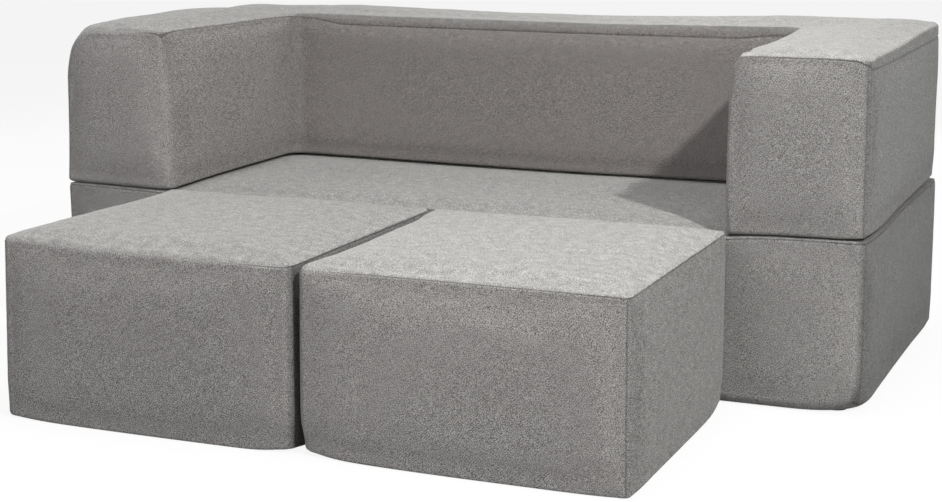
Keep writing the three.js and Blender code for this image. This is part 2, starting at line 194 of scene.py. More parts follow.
class Block:
    """A padded cover: a closed grid of quads over a sharp box, and the rule that shapes it."""

    def __init__(self, outline, floor, top, **form):
        self.outline, self.floor, self.top = outline, floor, top
        self.height = top - floor
        each = {key: [value] * outline.count for key, value in EACH_SIDE.items()}
        self.form = {**each, **WHOLE_BLOCK, **form}

    # The mesh

    def lists(self, step, loops, zip_loops):
        """Coordinates of the grid's planes in x and y, and their depths below the top."""
        axes = []
        for values in self.outline.corners.T:
            stops = np.unique(np.round(values, 6))
            found = set()
            for a, b in zip(stops[:-1], stops[1:]):
                found |= set(self.between(a, b, step, loops))
            axes.append(np.array(sorted(found)))
        depth = set(self.between(0, self.height, step, loops))
        if zip_loops and self.form["zip"]:
            z = self.top - (self.floor + self.form["zip"]["height"])
            near = {z + sign * k for sign in (-1, 1) for k in (0, 2.2, 3.8, 4.6, 5.2, 5.9, 7)}
            depth = {d for d in depth if min(abs(d - n) for n in near) > 0.9} | near
        return *axes, np.array(sorted(depth))

    @staticmethod
    def between(a, b, step, loops):
        span = b - a
        near = [k for k in loops if k < span / 2 - step / 2] or [0]
        points = [a + k for k in near] + [b - k for k in near]
        inner = span - 2 * near[-1]
        count = max(1, round(inner / step))
        points += [a + near[-1] + inner * k / count for k in range(1, count)]
        return [round(p, 4) for p in points]

    def grid(self, step, loops, zip_loops=False):
        """Sharp points, quads, and for each quad its side of the outline (-1 top, -2 bottom)."""
        xs, ys, depths = self.lists(step, loops, zip_loops)
        outline = self.outline
        mx, my = (xs[:-1] + xs[1:]) / 2, (ys[:-1] + ys[1:]) / 2
        gx, gy = np.meshgrid(mx, my, indexing="ij")
        filled = self.holds(gx, gy)
        used = np.zeros((len(xs), len(ys)), bool)
        for dx in (0, 1):
            for dy in (0, 1):
                used[dx:dx + len(mx), dy:dy + len(my)] |= filled
        number = -np.ones(used.shape, int)
        number[used] = np.arange(used.sum())
        flat_x, flat_y = np.meshgrid(xs, ys, indexing="ij")
        plan = np.stack([flat_x[used], flat_y[used]], 1)
        count = len(plan)
        points = [np.column_stack([plan, np.full(count, self.top)]),
                  np.column_stack([plan, np.full(count, self.floor)])]
        i, j = np.nonzero(filled)
        a, b = number[i, j], number[i + 1, j]
        c, d = number[i + 1, j + 1], number[i, j + 1]
        quads = [np.stack([a, b, c, d], 1), np.stack([a, d, c, b], 1) + count]
        sides = [np.full(len(a), -1), np.full(len(a), -2)]
        ring, ring_side = self.trace(xs, ys, number)
        inner = depths[1:-1]
        base = 2 * count
        for depth in inner:
            points.append(np.column_stack([plan[ring], np.full(len(ring), self.top - depth)]))
        rows = [ring] + [base + k * len(ring) + np.arange(len(ring)) for k in range(len(inner))]
        rows.append(ring + count)
        for upper, lower in zip(rows[:-1], rows[1:]):
            quads.append(np.stack([upper, lower, np.roll(lower, -1), np.roll(upper, -1)], 1))
            sides.append(ring_side)
        return np.concatenate(points), np.concatenate(quads), np.concatenate(sides)

    def holds(self, x, y):
        corners = self.outline.corners
        inside = np.zeros(x.shape, bool)
        for (x0, y0), (x1, y1) in zip(corners, np.roll(corners, -1, axis=0)):
            if x0 == x1:
                crosses = (np.minimum(y0, y1) < y) & (y < np.maximum(y0, y1)) & (x < x0)
                inside ^= crosses
        return inside

    def trace(self, xs, ys, number):
        """The grid's points round the outline, in order, and the side that each step runs along."""
        ring, side = [], []
        corners = self.outline.corners
        for k, (a, b) in enumerate(zip(corners, np.roll(corners, -1, axis=0))):
            low, high = np.minimum(a, b) - 1e-4, np.maximum(a, b) + 1e-4
            run = list(number[np.outer((low[0] < xs) & (xs < high[0]), (low[1] < ys) & (ys < high[1]))])
            if (b - a).sum() < 0:
                run.reverse()
            ring += run[:-1]
            side += [k] * (len(run) - 1)
        return np.array(ring), np.array(side)

    # The shape

    def corner_gap(self, at, i):
        """How far each point is from a corner in plan."""
        return np.hypot(at["x"] - self.outline.corners[i][0], at["y"] - self.outline.corners[i][1])

    def varied(self, at, key, merge=26.0):
        """One of the form's values at each point."""
        return self.outline.vary(at["side"], at["place"], at["inset"], self.form[key], merge)

    def measure(self, sharp):
        """What the shaping rules need to know about each sharp point."""
        x, y, z = sharp.T.copy()
        side, place, inset = self.outline.nearest(x, y)
        at = {"x": x, "y": y, "side": side, "place": place, "inset": inset}
        depth = self.top - z
        seam = self.varied(at, "seam")
        if self.form["seam_dip"]:
            corner, deeper, reach = self.form["seam_dip"]
            seam = seam + deeper * np.exp(-self.corner_gap(at, corner) / reach)
        wall = (depth > 1e-6) & (depth < self.height - 1e-6)
        upper = depth * seam / SEAM_LOOP
        lower = depth + (seam - SEAM_LOOP) * (1 - smooth((depth - SEAM_LOOP) / 70.0))
        at["depth"] = np.where(wall, np.where(depth < SEAM_LOOP, upper, lower), depth)
        at["seam"] = seam
        return at

    def round_edges(self, at):
        """Turns the sharp edges at the top and bottom into rolls."""
        inset, depth, height = at["inset"], at["depth"], self.height
        top, bottom = self.varied(at, "top_radius"), self.varied(at, "bottom_radius")
        across, down = top - inset, top - depth
        rolls = (across > 0) & (down > 0)
        reach = np.maximum(np.hypot(across, down), 1e-9)
        new_inset = np.where(rolls, top - across * top / reach, inset)
        new_depth = np.where(rolls, top - down * top / reach, depth)
        across, up = bottom - inset, bottom - (height - depth)
        rolls = (across > 0) & (up > 0)
        reach = np.maximum(np.hypot(across, up), 1e-9)
        new_inset = np.where(rolls, bottom - across * bottom / reach, new_inset)
        new_depth = np.where(rolls, height - bottom + up * bottom / reach, new_depth)
        return new_inset, new_depth

    def round_corners(self, at, inset):
        """Turns the sharp upright edges into rolls, outside and inside."""
        o, f = self.outline, self.form
        x, y, depth = at["x"], at["y"], at["depth"]
        move = (inset - at["inset"])[:, None] * o.inward[at["side"]]
        plan = np.stack([x, y], 1) + move
        near_top = 1 - smooth(depth / CORNER_FADE)
        near_floor = 1 - smooth((self.height - depth) / CORNER_FADE)
        for i in range(o.count):
            corner, n0, n1 = o.corners[i], o.inward[i - 1], o.inward[i]
            px, py = x - corner[0], y - corner[1]
            a = px * n0[0] + py * n0[1]
            b = px * n1[0] + py * n1[1]
            if o.convex[i]:
                plain = f["corner_radius"][i]
                r = plain + (f["corner_top_radius"][i] - plain) * near_top
                r = r + (f["corner_bottom_radius"][i] - plain) * near_floor
                zone = (a > -1e-6) & (b > -1e-6) & (a < r) & (b < r)
                turned = corner + r[:, None] * (n0 + n1) + unit(a - r, b - r, n0, n1) * (r - inset)[:, None]
                plan = np.where(zone[:, None], turned, plan)
            else:
                r = f["inside_radius"][i]
                zone = (a > -r) & (b > -r) & ((a > -1e-6) | (b > -1e-6))
                turned = corner - r * (n0 + n1) + unit(a + r, b + r, n0, n1) * (r + inset)[:, None]
                keep = smooth(np.maximum(a, b) / CORNER_FADE)[:, None]
                plan = np.where(zone[:, None], turned * (1 - keep) + plan * keep, plan)
        return plan

    def shaped(self, sharp):
        """Rounded, bulged and crowned points."""
        o, f = self.outline, self.form
        at = self.measure(sharp)
        inset, depth = self.round_edges(at)
        plan = self.round_corners(at, inset)
        side = at["side"]
        level = np.clip(depth / self.height, 0, 1)
        arch = 1 - (2 * (at["place"] / o.length[side]) - 1) ** 2
        rise = np.abs(2 * level - 1) ** 2.4
        swell = 1 - np.where(level > 0.5, 1 - f["foot_share"], 1.0) * rise
        out = np.array(f["bulge"])[side] * arch * swell * (1 - smooth(at["inset"] / 90.0))
        plan = plan - out[:, None] * o.inward[side]
        lower, upper = smooth(level)[:, None], (1 - smooth(level / 0.5))[:, None]
        for i in range(o.count):
            push = np.array(f["corner_push"][i]) + lower * np.array(f["foot_push"][i])
            push = push + upper * np.array(f["top_push"][i])
            plan = plan + bell(self.corner_gap(at, i), PUSH_REACH)[:, None] * push
        z = self.top - depth
        z = z + f["crown"](at["x"], at["y"], at["inset"]) * (1 - smooth(depth / 30.0))
        # The bottom panel's corners are drawn in and lifted
        foot = 1 - smooth((self.height - depth) / 60.0)
        for i in range(o.count):
            if o.convex[i] and f["pinch"][i]:
                pull = foot * bell(self.corner_gap(at, i), PINCH_REACH)
                plan = plan + (pull * f["pinch"][i] * 0.5)[:, None] * (o.inward[i - 1] + o.inward[i])
                z = z + pull * f["pinch_lift"] * f["pinch"][i]
        slit = self.varied(at, "slit", 40.0)
        z = z + slit * (1 - smooth((self.height - depth) / 25)) * (1 - smooth((at["inset"] - 4) / 28))
        points = np.column_stack([plan, z])
        if f["settles"]:
            points = settled(points)
        return points, at

    def held(self, points, at):
        """1 where the cover lies against the floor or another block and can't swell, 0 where it is free."""
        x, y, z = points.T
        low = 1 - smooth((self.height - at["depth"] - 4) / 30)
        rear = smooth((y - (self.outline.corners[:, 1].max() - 14)) / 8)
        touching = np.maximum(low, rear)
        return np.clip(np.maximum(touching, self.form["touches"](x, y, z)), 0, 1)


def unit(a, b, n0, n1):
    """The direction of a along n0 and b along n1, for each point."""
    out = a[:, None] * n0 + b[:, None] * n1
    return out / np.maximum(np.hypot(out[:, 0], out[:, 1]), 1e-9)[:, None]


def mesh_from(name, points, quads):
    mesh = bpy.data.meshes.new(name)
    mesh.vertices.add(len(points))
    mesh.vertices.foreach_set("co", (points * MM).astype(np.float32).ravel())
    mesh.loops.add(quads.size)
    mesh.loops.foreach_set("vertex_index", quads.astype(np.int32).ravel())
    mesh.polygons.add(len(quads))
    mesh.polygons.foreach_set("loop_start", (np.arange(len(quads)) * quads.shape[1]).astype(np.int32))
    mesh.update(calc_edges=True)
    mesh.validate()
    mesh.polygons.foreach_set("use_smooth", np.ones(len(quads), bool))
    return mesh


def object_from(name, data, material=None):
    made = bpy.data.objects.new(name, data)
    bpy.context.scene.collection.objects.link(made)
    if material:
        data.materials.append(material)
    return made


def piece_from(name, mesh, material, body, slot, *nodes):
    """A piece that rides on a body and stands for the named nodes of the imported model."""
    made = object_from(name, mesh, material)
    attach(made, body)
    if nodes:
        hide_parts(*nodes)
    return made


def normals_of(points, quads):
    a, b, c, d = (points[quads[:, k]] for k in range(4))
    face = np.cross(c - a, d - b)
    total = np.zeros_like(points)
    for k in range(4):
        np.add.at(total, quads[:, k], face)
    return total / np.maximum(np.linalg.norm(total, axis=1), 1e-12)[:, None]


# The four covers

SEAM_DEPTH = 1.3
SEAM_WIDTH = 1.5
SLIT_DEPTH = 4.6
SLIT_HALF_HEIGHT = 6.2
# Depth of the step inside the hem, in which the bottom panel lies
HEM_STEP = 1.4
# The left arm's inner front corner is drawn outward at its top
LEFT_ARM_LEAN = (-17, 0)


def settled(points):
    """The arms and back press into the base, most at the arms' inner front corners and behind the seat."""
    x, y, z = points.T
    opening = np.minimum(INNER_HALF_WIDTH - np.abs(x), BACK_FRONT - y)
    near = 1 - 0.8 * smooth(opening / 170)
    dip = 3.4 + 0 * x
    dip = dip + 9.0 * np.exp(-np.hypot(x - INNER_HALF_WIDTH, y - BASE_FRONT) / 55)
    dip = dip + 5.0 * np.exp(-np.hypot(x + INNER_HALF_WIDTH, y - BASE_FRONT) / 85)
    dip = dip + 3.2 * bell(x - 60, 300) * smooth((y - 150) / 200)
    dip = dip + 4.2 * bell(y - 60, 110) * smooth((x - 600) / 125)
    share = np.clip(np.minimum(z / SEAT_LEVEL, (BACK_TOP - z) / (BACK_TOP - BACK_FLOOR)), 0, 1)
    return np.column_stack([x, y, z - dip * near * share])


def seat_crown(x, y, inset):
    """The base's top is flat under the arms and back, and crowned where the seat is open."""
    across = smooth((INNER_HALF_WIDTH - 40 - np.abs(x)) / 150)
    deep = smooth((BACK_FRONT - 40 - y) / 150) * smooth((y - BASE_FRONT) / 60)
    return 4.0 * across * deep


def back_crown(x, y, inset):
    """Arms and back are crowned across, and the back sags at its middle."""
    crown = 4.0 * (1 - (1 - np.clip(inset / 60, 0, 1)) ** 2)
    sag = 6.4 * np.clip(1 - (x / 430) ** 2, 0, 1) * smooth((y - BACK_FRONT - 5) / 130)
    right_rear = 6.0 * smooth((x - 60) / 480) * smooth((y - 150) / 300)
    left_rear = -5.0 * smooth((-x - 380) / 250) * smooth((y - 330) / 250)
    left_arm = 4.5 * smooth((-x - 505) / 80) * bell(y - 230, 110)
    return crown - sag + right_rear + left_rear + left_arm


def ottoman_crown(x, y, inset):
    """Crowned, with the left one fuller at its front left corner and pressed down at its rear left one."""
    crown = 7.0 * (1 - (1 - np.clip(inset / 90, 0, 1)) ** 2)
    pressed = bell(np.hypot(x + OTTOMAN_OUTER, y - OTTOMAN_REAR), 130)
    fuller = 4.5 * smooth((-x - 330) / 130) * (1 - smooth((y + 430) / 250))
    return crown * (1 - 0.85 * pressed) + fuller


def base_touches(x, y, z):
    """The base carries the arms and back on its top, and the ottomans stand against its front."""
    covered = np.maximum(smooth((np.abs(x) - INNER_HALF_WIDTH + 45) / 30), smooth((y - BACK_FRONT + 45) / 30))
    on_top = smooth((z - SEAT_LEVEL + 40) / 20)
    in_front = smooth((BASE_FRONT + 14 - y) / 8) * smooth((OTTOMAN_OUTER + 30 - np.abs(x)) / 25)
    return np.maximum(covered * on_top, in_front)


def ottoman_touches(x, y, z):
    """The two ottomans stand close to each other."""
    return smooth((OTTOMAN_INNER + 12 - np.abs(x)) / 8)


def base_painted_light(x, y):
    """Painted shade on the base's top: darker towards the left, and darker where it rolls over its right-hand
    edge.
    """
    return 1.0 - 0.1 * smooth((-x - 150) / 250) - 0.5 * smooth((x - 705) / 12)


def base_block():
    """Sides: front, right, rear, left. Each corner comes before the side of the same number."""
    return Block(
        rectangle(-HALF_WIDTH, BASE_FRONT, HALF_WIDTH, REAR_FACE), 0.0, SEAT_LEVEL, seed=11,
        top_radius=[(6, 6, 4), 3, 6, 6],
        bottom_radius=[(16, 18, 26), (22, 14, 14), (12, 10, 12), (12, 10, 14)],
        corner_radius=[10, 15, 8, 10],
        corner_top_radius=[10, 14, 8, 10],
        corner_bottom_radius=[18, 30, 10, 14],
        bulge=[5, 6, 0, 6],
        corner_push=[(-3, 0), (0, 0), (4, 0), (-3, 0)],
        pinch=[10, 17, 2, 10], pinch_lift=0.5, crown=seat_crown, settles=True, touches=base_touches,
        seam=[4] * 4, zip={"height": 36.0, "half": 654.0},
        # Painted light and shade: front lighter, right side much darker, walls lighter lower down; the warm
        # tint is painted bounce light
        nap=[(1.09, 1.22, 1.24), 0.475, 1.0, 1.0], painted_low_light=0.09, painted_top_light=base_painted_light,
        grain=[1.0, 2.6, 1.0, 1.0], grain_top=1.0, mottle=[0.3, 0.8, 0.4, 0.4], warm=[0.2] * 4,
    )


def back_block():
    """Sides: left arm's front and inner side, back, right arm's inner side and front, right, rear, left."""
    return Block(
        u_outline(), BACK_FLOOR, BACK_TOP, seed=23,
        top_radius=[(34, 12, 9), (6, 5, 7), (8, 16, 14), (12, 14, 48), (7, 5, 6), (14, 4.5, 6), 12,
                    (12, 10, 58)],
        bottom_radius=[(8, 8, 7), (7, 6, 6), 6, (6, 6, 7), 6, 5, 8, 8],
        corner_radius=[11, 25, 0, 0, 7, 17, 14, 16],
        corner_top_radius=[42, 18, 0, 0, 20, 22, 16, 22],
        corner_bottom_radius=[9, 18, 0, 0, 14, 14, 12, 14],
        inside_radius=[0, 0, 30, 12, 0, 0, 0, 0],
        bulge=[4, 5, 4, 5, 4, 5, 0, 6],
        corner_push=[(-3, 0), (2, 0), (0, 0), (0, 0), (-6, 0), (0, 0), (0, 0), (-2, 0)],
        top_push=[(0, 0), LEFT_ARM_LEAN, (0, 0), (0, 0), (2, 0), (0, 0), (0, 0), (0, 0)],
        slit=[1.2, 4.6, 4.2, 3.6, 1.8, 4.2, 0.5, 1.0],
        pinch=[1, 4, 0, 0, 4, 4, 4, 4], pinch_lift=0.25, crown=back_crown, settles=True,
        seam=[(9, 7, 4), (3.5, 3.5, 5), (9, 20, 14), (12, 16, 12), (6, 4, 6), (20, 21, 20), 18, (18, 20, 14)],
        seam_show=[(0.0, 0.1, 1.0), (1.0, 0.9, 0.8), (0.5, 0.8, 0.9), (0.8, 0.7, 0.6), (0.5, 0.9, 1.0),
                   (1.0, 0.9, 0.9), 1.0, 1.0],
        seam_dip=(1, 12.0, 16.0), upright_seams=[(5, 1.5, 1.8, 3.2), (7, 13.0, 1.3, 1.8)],
        zip={"height": 96.0, "half": 654.0},
        # Painted light and shade: lighter arm fronts, darker inner sides, back and right side, lighter lower
        # down, a darker strip on the back and near the left arm's inner front corner, and tops lighter
        # towards the right; the warm tint is painted bounce light, most on the back and inner sides
        nap=[1.20, (0.85, 0.85, 0.77), 0.845, 0.88, 1.14, 0.705, 1.0, 1.0],
        painted_low_light=0.06, painted_strip_shade=(2, 0.71, 13.0), painted_corner_shade=(1, 0.98, 11.0),
        painted_top_light=lambda x, y: 1.04 + 0.32 * smooth((x + 450) / 1000),
        mottle=[0.3, 0.45, 0.35, 0.4, 0.3, 0.8, 0.4, 0.4],
        grain=[1.05, 1.0, 1.1, 1.0, 1.1, 2.6, 1.0, 1.0],
        warm=[0.3, 0.8, 1.0, 0.8, 0.2, 0.1, 0.3, 0.3],
    )


REAR_SEAMS = [(2, 4.5, 1.2, 1.5), (2, 495.5, 1.2, 1.5)]
# What only one of the ottomans has
LEFT_OTTOMAN = {
    "top_radius": [(11, 12, 11), (7, 6, 6), 6, 6], "seed": 31,
    "corner_radius": [12, 16, 8, 8], "corner_top_radius": [13, 18, 9, 9],
    "corner_bottom_radius": [14, 15, 10, 10],
    "bulge": [5.5, 3.0, 0, 6.0], "pinch": [4.0, 9.0, 6, 6],
    "corner_push": [(0, 0), (2, -2), (1, 0), (-1, 0)], "foot_push": [(-2, 0), (0, 0), (0, 0), (0, 0)],
    "seam_show": [(0.0, 0.1, 0.6), 1, 1, 1], "upright_seams": REAR_SEAMS,
    # Painted light and shade: front lighter, the side by the gap darker, top lighter
    "nap": [1.14, (0.45, 0.68, 0.64), 1.0, 1.0], "painted_top_light": lambda x, y: 1.19 + 0 * x,
    "grain": [1.15, 1.15, 1.0, 1.0],
}
RIGHT_OTTOMAN = {
    "top_radius": [(14, 7, 6), (7, 6, 6), 6, (9, 23, 16)], "seed": 47,
    "corner_radius": [12, 11, 8, 8], "corner_top_radius": [13, 13, 9, 9],
    "corner_bottom_radius": [15, 9, 10, 10],
    "bulge": [9.5, 6.0, 0, 1.0], "pinch": [9.0, 1.5, 6, 6],
    "corner_push": [(-2, 0), (2, -2), (1, 0), (-1, 0)], "foot_push": [(0, 2), (2, -3), (0, 0), (0, 0)],
    "seam_show": [(0.1, 0.7, 0.6), 1, 1, 1], "upright_seams": REAR_SEAMS + [(0, 495.5, 1.6, 1.6)],
    # Painted light and shade: front lighter, the outer side and the side by the gap darker, top much lighter
    "nap": [1.22, 0.82, 1.0, 0.62], "painted_top_light": lambda x, y: 1.40 + 0 * x,
    "grain": [1.15, 1.5, 1.0, 1.0],
}
OTTOMANS = (
    ("left_ottoman", -OTTOMAN_OUTER, -OTTOMAN_INNER, LEFT_OTTOMAN),
    ("right_ottoman", OTTOMAN_INNER, OTTOMAN_OUTER, RIGHT_OTTOMAN),
)


def ottoman_block(x0, x1, form):
    return Block(
        rectangle(x0, OTTOMAN_FRONT, x1, OTTOMAN_REAR), 0.0, SEAT_LEVEL,
        bottom_radius=[(6, 3.5, 3.5), (4, 6, 9), (9, 8, 9), (8, 6, 7)], foot_share=1.0, pinch_lift=0.55,
        seam=[(5, 3.5, 5), (5, 6, 5), 5, (5, 6, 5)], crown=ottoman_crown, touches=ottoman_touches,
        # The warm tint is painted bounce light
        zip={"height": 36.0, "half": 199.0}, mottle=[0.4, 0.9, 0.4, 0.4], warm=[0.3] * 4, **form,
    )


def seam_marks(block, at):
    """How near each point is to a seam, from 0 to 1, which darkens the colour there as painted shade, and how
    far the seams draw it in.
    """
    on_wall = np.where(at["depth"] < block.height - 1, 1.0, 0.0)
    shown = on_wall * block.varied(at, "seam_show", 10.0)
    top_gap = np.where(at["inset"] > 1e-6, at["inset"] + at["seam"], np.abs(at["depth"] - at["seam"]))
    drawn = SEAM_DEPTH * bell(top_gap, SEAM_WIDTH) * shown
    near = bell(top_gap, 1.6) * shown
    below = np.clip((at["depth"] - at["seam"]) / 6.0, 0, 1) * on_wall
    for side, place, depth, width in block.form["upright_seams"]:
        beside = (at["side"] == side) & (at["inset"] < 1e-6)
        gap = np.where(beside, np.abs(at["place"] - place), 1e3)
        drawn = drawn + depth * bell(gap, width) * below
        near = np.maximum(near, bell(gap, 2.0) * below)
    if block.form["seam_dip"]:
        # The two pieces of cloth are gathered where the seam dips
        gap = np.hypot(block.corner_gap(at, block.form["seam_dip"][0]), at["depth"] - at["seam"])
        drawn = drawn + 2.6 * bell(gap, 6.0) * on_wall
        near = np.maximum(near, bell(gap, 3.5) * on_wall)
    return near, drawn


def gathers(block, at):
    """Small wrinkles that run out from the upright seams, strongest low down."""
    total = 0 * at["inset"]
    for side, place, depth, _ in block.form["upright_seams"]:
        beside = (at["side"] == side) & (at["inset"] < 1e-6)
        gap = np.abs(at["place"] - place)
        slope = 2 * math.pi * (at["depth"] + 0.25 * gap) / 44.0
        wave = np.sin(slope + 1.7 * np.sin(at["depth"] / 37.0 + place))
        strength = 0.45 * depth * smooth(at["depth"] / block.height) * smooth(gap / 6) * np.exp(-gap / 38.0)
        total = total + np.where(beside, wave * strength, 0)
    return total


def painted_light_and_shade(block, at):
    """Painted light and shade for each panel: a factor that makes its colour lighter or darker to stand for
    how the lamps fall on it.
    """
    f = block.form
    wall = block.varied(at, "nap", 12.0)
    turn = smooth((at["depth"] - 0.3 * np.minimum(at["seam"], 8)) / 3.0)
    if f["painted_strip_shade"]:
        # Painted shade on the strip above the back's seam, and on the lip where the top rolls down to it
        side, value, lip = f["painted_strip_shade"]
        above = 1 - smooth((at["depth"] - at["seam"] + 2) / 2.5)
        wall = np.where(at["side"] == side, wall + (value - wall) * above, wall)
        turn = np.maximum(turn, smooth((lip - at["inset"]) / 3.0) * (at["side"] == side))
    # Painted shade round one corner, which takes away a light band there
    if f["painted_corner_shade"]:
        corner, value, reach = f["painted_corner_shade"]
        wall = wall * (1 - (1 - value) * bell(block.corner_gap(at, corner), reach))
    # Painted light: walls lighter towards the bottom and darker towards the top
    wall = wall * (1 + f["painted_low_light"] * (2 * at["depth"] / block.height - 1))
    # Painted light on the top panel
    lid = f["painted_top_light"](at["x"], at["y"])
    return np.where(at["depth"] < block.height - 1, lid + (wall - lid) * turn, 1.0)


def zip_recess(block, at, sharp):
    """The slit that shows the zip, in the rear wall."""
    z = block.form["zip"]
    rear = 6 if block.outline.count == 8 else 2
    on = (at["side"] == rear) & (at["inset"] < 1e-6)
    middle = (block.outline.corners[:, 0].min() + block.outline.corners[:, 0].max()) / 2
    up = smooth((SLIT_HALF_HEIGHT - np.abs(sharp[:, 2] - (block.floor + z["height"]))) / 1.8)
    along = smooth((z["half"] - np.abs(sharp[:, 0] - middle)) / 3.0)
    return np.where(on, SLIT_DEPTH * up * along, 0)


def weave_coordinates(block, sharp, quads, sides, at):
    """For each corner of each quad, its place on its own panel of cloth, in metres."""
    o = block.outline
    corners = quads.ravel()
    side = np.repeat(sides, 4)
    p = sharp[corners]
    depth = at["depth"][corners]
    seam = at["seam"][corners]
    uv = np.zeros((len(corners), 2))
    lid = side == -1
    uv[lid] = p[lid, :2]
    under = side == -2
    uv[under] = p[under, :2] + 3000
    wall = side >= 0
    k = side[wall]
    face_depth = depth.reshape(-1, 4).mean(1).repeat(4)[wall]
    place = ((p[wall, :2] - o.corners[k]) * o.along[k]).sum(1) + o.start[k]
    rolled = p[wall, :2] - o.inward[k] * depth[wall][:, None]
    upright = np.column_stack([place + 5000, p[wall, 2]])
    above = (face_depth < seam[wall])[:, None]
    uv[wall] = np.where(above, rolled, upright)
    return uv * MM


def add_attributes(mesh, floats, uv):
    for name, values in floats.items():
        attribute = mesh.attributes.new(name, "FLOAT", "POINT")
        attribute.data.foreach_set("value", values.astype(np.float32))
    layer = mesh.uv_layers.new(name="weave")
    layer.data.foreach_set("uv", uv.astype(np.float32).ravel())


# Cloth simulation: the padding presses the cover outward, and the seams hold it in
SIM_FRAMES = 20
CLOTH = {
    "quality": 6, "mass": 0.25, "air_damping": 4.0, "tension_stiffness": 20.0, "compression_stiffness": 20.0,
    "shear_stiffness": 8.0, "bending_stiffness": 1.2, "use_pressure": True, "uniform_pressure_force": 4.0,
}
SHRINK = (-0.006, 0.012)
MOST_OUT = 4.5
MOST_IN = 3.0
# How many points of the coarse copy move a point of the cover, and how far off one counts
NEIGHBOURS = 7
SWELL_REACH = 11.0


def weights(made, name, values):
    group = made.vertex_groups.new(name=name)
    for level in np.unique(np.round(values, 1)):
        if level > 0:
            ids = np.nonzero(np.round(values, 1) == level)[0]
            group.add([int(i) for i in ids], float(level), "REPLACE")
    return group.name


def simulated(points, at, normals, quads, held):
    """How far the cloth simulation moves each point of a coarse cover along its normal."""
    made = object_from("cloth_copy", mesh_from("cloth_copy", points - 1.5 * normals, quads))
    cloth = made.modifiers.new("cloth", "CLOTH")
    settings = cloth.settings
    for key, value in CLOTH.items():
        setattr(settings, key, value)
    settings.effector_weights.gravity = 0.0
    settings.vertex_group_mass = weights(made, "held", held)
    near_seam = bell(at["depth"] - at["seam"], 12.0) * (at["inset"] < 14)
    settings.vertex_group_shrink = weights(made, "tight", near_seam)
    settings.shrink_min, settings.shrink_max = SHRINK
    cloth.collision_settings.use_self_collision = False
    cloth.point_cache.frame_start, cloth.point_cache.frame_end = 1, SIM_FRAMES
    scene = bpy.context.scene
    for number in range(1, SIM_FRAMES + 1):
        scene.frame_set(number)
    result = made.evaluated_get(bpy.context.evaluated_depsgraph_get())
    moved = np.zeros(len(points) * 3)
    result.data.vertices.foreach_get("co", moved)
    scene.frame_set(1)
    mesh = made.data
    bpy.data.objects.remove(made)
    bpy.data.meshes.remove(mesh)
    return ((moved.reshape(-1, 3) / MM - points) * normals).sum(1)


def simulated_swell(block):
    """Simulates a coarse copy of the cover and returns how far that moves any point of the cover."""
    sharp, quads, _ = block.grid(SIM_STEP, COARSE_LOOPS)
    points, at = block.shaped(sharp)
    normals = normals_of(points, quads)
    held = block.held(points, at)
    out = simulated(points, at, normals, quads, held)
    out = np.where(out > 0, MOST_OUT * np.tanh(out / MOST_OUT), MOST_IN * np.tanh(out / MOST_IN))
    shift = evened((out * (1 - held))[:, None] * normals, quads)
    tree = KDTree(len(points))
    for index, point in enumerate(points):
        tree.insert(point, index)
    tree.balance()

    def swell(fine):
        total = np.zeros_like(fine)
        for index, point in enumerate(fine):
            near = tree.find_n(point, NEIGHBOURS)
            w = bell(np.array([f[2] for f in near]), SWELL_REACH) + 1e-6
            total[index] = (shift[[f[1] for f in near]] * w[:, None]).sum(0) / w.sum()
        return total

    return swell


def evened(values, quads, rounds=2):
    """Each point's value mixed with its neighbours'."""
    count = np.zeros(len(values))
    for k in range(4):
        np.add.at(count, quads[:, k], 2.0)
    for _ in range(rounds):
        total = np.zeros_like(values)
        for k in range(4):
            np.add.at(total, quads[:, k], values[quads[:, (k + 1) % 4]] + values[quads[:, k - 1]])
        values = 0.5 * values + 0.5 * total / count[:, None]
    return values


def detailed(block, sharp, points, quads, at, drawn):
    """The cover's points with their unevenness, puckers, seams and slit, and the step inside the hem."""
    normals = normals_of(points, quads)
    seed = block.form["seed"]
    free = np.where(at["depth"] < block.height - 2, 1.0, 0.0)
    uneven = block.form["uneven"] * waves(seed, points, 260.0) * free
    pucker = 0.5 * waves(seed + 5, points, 46.0)
    pucker *= free * np.exp(-np.abs(at["depth"] - at["seam"]) / 14.0) * (at["inset"] < 16)
    pucker += gathers(block, at) * free
    push = uneven + pucker - drawn - zip_recess(block, at, sharp)
    points = points + normals * push[:, None]
    under = (at["depth"] > block.height - 0.5) & (at["inset"] > PANEL_INSET + 1)
    points[under, 2] = block.floor + HEM_STEP
    if block.form["settles"]:
        points[under] = settled(points[under])
    return points


def dress(block, name, body, material):
    """Builds the detailed cover of one block."""
    sharp, quads, sides = block.grid(COVER_STEP, EDGE_LOOPS, zip_loops=True)
    points, at = block.shaped(sharp)
    points = points + simulated_swell(block)(points)
    near, drawn = seam_marks(block, at)
    mesh = mesh_from(name + "_padded_cover", detailed(block, sharp, points, quads, at, drawn), quads)
    edge = bell(at["depth"] - 1, 7.0) * bell(at["inset"], 6.0)
    # The panel factor is painted light and shade, and the seam nearness darkens the colour as painted shade
    floats = {"seam": near, "edge": edge, "nap": painted_light_and_shade(block, at)}
    lid = 1 - smooth(at["depth"] / 4.0)
    # The warm tint among these looks is painted bounce light on the walls, with none on the top
    for look, top_value in (("mottle", 1.0), ("grain", block.form["grain_top"]), ("warm", 0.0)):
        wall = block.varied(at, look, 12.0)
        floats[look] = wall + (top_value - wall) * lid
    add_attributes(mesh, floats, weave_coordinates(block, sharp, quads, sides, at))
    cover = piece_from(name + "_padded_cover", mesh, material, body, "cover_fabric", name + "_cover")


# Foam inside the covers

FOAM_SKIN = 9.0


